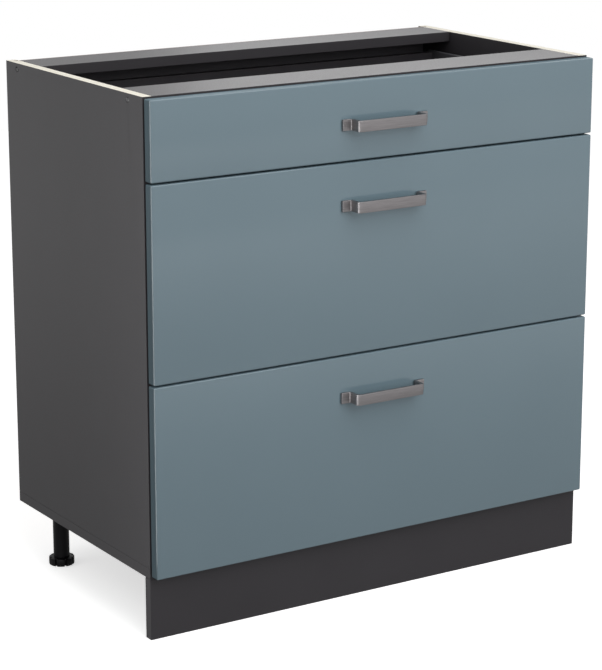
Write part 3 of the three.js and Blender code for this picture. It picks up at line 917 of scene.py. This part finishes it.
# Places in mm: Y from the carcass front, Z from a drawer side's lower edge, X from the handle's middle.
screwPlaces = {
    "runnerY": (37, 165, 325),  # on the usual row of holes
    "bracketZ": (34, 62),
    "boardY": (60, 196, 330),
    "backZ": (32, 66),
    "handleX": 69.15,
    "wall": 13,  # from a side panel to a drawer's wall
    "bracket": 10,  # from that wall to the bracket's screws
    "ledge": 14,  # and to the bottom board's
    "sheet": 1.2,
    "railY": (44, 400),
    "railDrop": 10,  # under a side panel's upper edge
}

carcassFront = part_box("side_panel_left")[0].y
runnerPlaces, legPlaces = [], []
for drawer in drawerNames:
    front, grip, backBoard = (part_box(drawer + piece) for piece in ("_front", "_handle", "_back_board"))
    boardPlaces = []
    for side, inward in sides.items():
        low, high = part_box(f"{drawer}_runner_{side}")
        web = (low.x if inward > 0 else high.x) + inward * screwPlaces["sheet"] * mm
        middle = (low.z + high.z) / 2
        towardsIn, towardsOut = ("x", "-x") if inward > 0 else ("-x", "x")
        runnerPlaces += [((web, carcassFront + y * mm, middle), towardsIn) for y in screwPlaces["runnerY"]]
        low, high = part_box(f"{drawer}_side_{side}")
        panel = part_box("side_panel_" + side)[1 if inward > 0 else 0].x
        wall = panel + inward * screwPlaces["wall"] * mm
        bracketX, ledgeX = (wall + inward * screwPlaces[key] * mm for key in ("bracket", "ledge"))
        bracketY = low.y + screwPlaces["sheet"] * mm
        boardPlaces += [((bracketX, bracketY, low.z + z * mm), "y") for z in screwPlaces["bracketZ"]]
        boardPlaces += [((ledgeX, carcassFront + y * mm, low.z), "-z") for y in screwPlaces["boardY"]]
        backY = (backBoard[0].y + backBoard[1].y) / 2
        boardPlaces += [((wall, backY, low.z + z * mm), towardsOut) for z in screwPlaces["backZ"]]
    screwSet(drawer + "_bracket_screws", "board", drawer + "_drawer", boardPlaces)
    handleZ = (grip[0].z + grip[1].z) / 2
    screwSet(
        drawer + "_handle_screws", "handle", drawer + "_drawer",
        [((hand * screwPlaces["handleX"] * mm, front[1].y, handleZ), "y") for hand in (-1, 1)],
    )
screwSet("runner_screws", "runner", "carcass", runnerPlaces)
for end in frontAndRear:
    for side in sides:
        low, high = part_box(f"leg_{end}_{side}")
        x, y, under = (low.x + high.x) / 2, (low.y + high.y) / 2, high.z - legShape["plateThickness"] * mm
        reach = (legShape["plate"] / 2 - legShape["holeInset"]) * mm
        legPlaces += [((x + i * reach, y + j * reach, under), "-z") for i in (-1, 1) for j in (-1, 1)]
screwSet("leg_screws", "leg", "carcass", legPlaces)

# Domed caps in the rail screws' countersinks, flush with the side panels: [radius, height] from the face.
capShape = {
    "profile": [
        [0, -2.4], [2.4, -2.4], [3.6, -1.35], [3.5, -1.1], [3.25, -0.8], [2.8, -0.5],
        [2.2, -0.28], [1.4, -0.12], [0, -0.05],
    ],
    "steps": 32,
}
caps = []
for side, inward in sides.items():
    low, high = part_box("side_panel_" + side)
    face, axis = (low.x, "-x") if inward > 0 else (high.x, "x")
    for y in screwPlaces["railY"]:
        place = (face, carcassFront + y * mm, high.z - screwPlaces["railDrop"] * mm)
        caps.append(setDown(turn(capShape["profile"], steps=capShape["steps"]), place, axis))
finishPiece("rail_screw_caps", joined(caps), "carcass", capPlastic)
print("screws made")


# Places and sizes in metres, powers in watts.
studio = {
    "floor": "#f7f7f6",  # what the camera and reflections see
    "floorGlow": 0.62,  # brings the unshaded floor up to white for the camera
    # painted shade: in reflections the floor is darker near the object, standing in for its shadow there
    "floorShadedShine": (0.44, 1.0),  # in reflections it turns from pale to white with the distance
    "floorShadeFade": (0.6, 3.6),  # from the middle of the floor
    "floorBounce": "#808080",  # what light bounces off
    "floorRoughness": 0.9,
    "floorSize": 8,
    "floorDrop": 0.0005,  # keeps it off the feet's undersides
    "ambientLow": 0.22,  # the world's light from below and from the horizon
    "ambientHigh": 0.52,  # and from straight above
    "lamps": {
        "key_softbox": {"place": (0, -1.9, 2.6), "aim": (0, -0.2, 0.6), "size": (2.8, 2.8), "power": 50},
        "front_softbox": {
            "place": (0.3, -3.4, 1.3), "aim": (0, -0.2, 0.4), "size": (2.0, 2.0), "power": 35,
            "unseen": "glossy",
        },
        "left_softbox": {"place": (-2.2, 0.5, 2.2), "aim": (-0.4, 0.1, 0.6), "size": (1.4, 1.4), "power": 8},
        "edge_panel": {  # seen as the thin light along the fronts' left edges
            "place": (-0.64, -0.26, 0.38), "aim": (-0.4, -0.24, 0.38), "size": (0.34, 0.95), "power": 3.6,
            "unseen": "diffuse",
        },
        "rail_panel": {  # seen at a flat angle in the top rails
            "place": (0.75, 0.42, 1.21), "aim": (0, -0.15, 0.8), "size": (1.4, 0.4), "power": 3,
            "unseen": "diffuse",
        },
    },
}


# 1 for the rays that show a thing to the eye, straight or in a reflection, and 0 for bounced light.
def seenByEye(tree):
    path = addNode(tree, "LightPath").outputs
    seen = addNode(tree, "Math", {0: path["Is Camera Ray"], 1: path["Is Glossy Ray"]}, operation="MAXIMUM")
    seen = addNode(tree, "Math", {0: seen.outputs[0], 1: path["Is Transmission Ray"]}, operation="MAXIMUM")
    return seen.outputs[0]


def studioFloor():
    material, tree = newMaterial("studio_paper")
    seen = seenByEye(tree)
    direct = addNode(tree, "LightPath").outputs["Is Camera Ray"]
    colour = addNode(
        tree, "Mix",
        {0: direct, 6: linear(studio["floorBounce"]), 7: linear(studio["floor"])},
        data_type="RGBA",
    )
    place = addNode(tree, "TexCoord").outputs["Object"]
    distance = addNode(tree, "VectorMath", {0: place}, operation="LENGTH").outputs["Value"]
    # In reflections the floor's glow is lower near the middle: a painted shadow of the object. The camera
    # sees an even glow.
    (near, far), (pale, white) = studio["floorShadeFade"], studio["floorShadedShine"]
    shine = addNode(
        tree, "MapRange",
        {"Value": distance, "From Min": near, "From Max": far, "To Min": pale, "To Max": white},
        interpolation_type="SMOOTHSTEP",
    )
    glow = addNode(tree, "Mix", {0: direct, 2: shine.outputs[0], 3: studio["floorGlow"]}, data_type="FLOAT")
    glow = addNode(tree, "Math", {0: seen, 1: glow.outputs[0]}, operation="MULTIPLY")
    shader = addNode(
        tree, "BsdfPrincipled",
        {"Base Color": colour.outputs[2], "Roughness": studio["floorRoughness"], "Specular IOR Level": 0.0,
         "Emission Color": (1, 1, 1, 1), "Emission Strength": glow.outputs[0]},
    )
    addNode(tree, "OutputMaterial", {"Surface": shader.outputs[0]})
    shape = bmesh.new()
    bmesh.ops.create_grid(shape, x_segments=1, y_segments=1, size=studio["floorSize"] / 2)
    mesh = meshOf(shape, "studio_floor")
    mesh.materials.append(material)
    floor = bpy.data.objects.new("studio_floor", mesh)
    floor.location.z = -studio["floorDrop"]
    scene.collection.objects.link(floor)


def studioWorld():
    world = bpy.data.worlds.new("studio")
    world.use_nodes = True
    tree = world.node_tree
    tree.nodes.clear()
    height = addNode(tree, "SeparateXYZ", {0: addNode(tree, "TexCoord").outputs["Generated"]}).outputs["Z"]
    ambient = addNode(
        tree, "MapRange", {"Value": height, "To Min": studio["ambientLow"], "To Max": studio["ambientHigh"]}
    )
    strength = addNode(tree, "Mix", {0: seenByEye(tree), 2: ambient.outputs[0], 3: 1.0}, data_type="FLOAT")
    light = addNode(tree, "Background", {"Color": (1, 1, 1, 1), "Strength": strength.outputs[0]})
    addNode(tree, "OutputWorld", {"Surface": light.outputs[0]})
    scene.world = world


studioFloor()
studioWorld()
for name, lamp in studio["lamps"].items():
    data = bpy.data.lights.new(name, "AREA")
    data.shape = "RECTANGLE"
    data.size, data.size_y = lamp["size"]
    data.energy = lamp["power"]
    panel = bpy.data.objects.new(name, data)
    panel.location = lamp["place"]
    panel.rotation_euler = (Vector(lamp["aim"]) - Vector(lamp["place"])).to_track_quat("-Z", "Y").to_euler()
    panel.visible_camera = False
    panel.visible_diffuse = lamp.get("unseen") != "diffuse"
    panel.visible_glossy = lamp.get("unseen") != "glossy"
    scene.collection.objects.link(panel)
print("studio set")
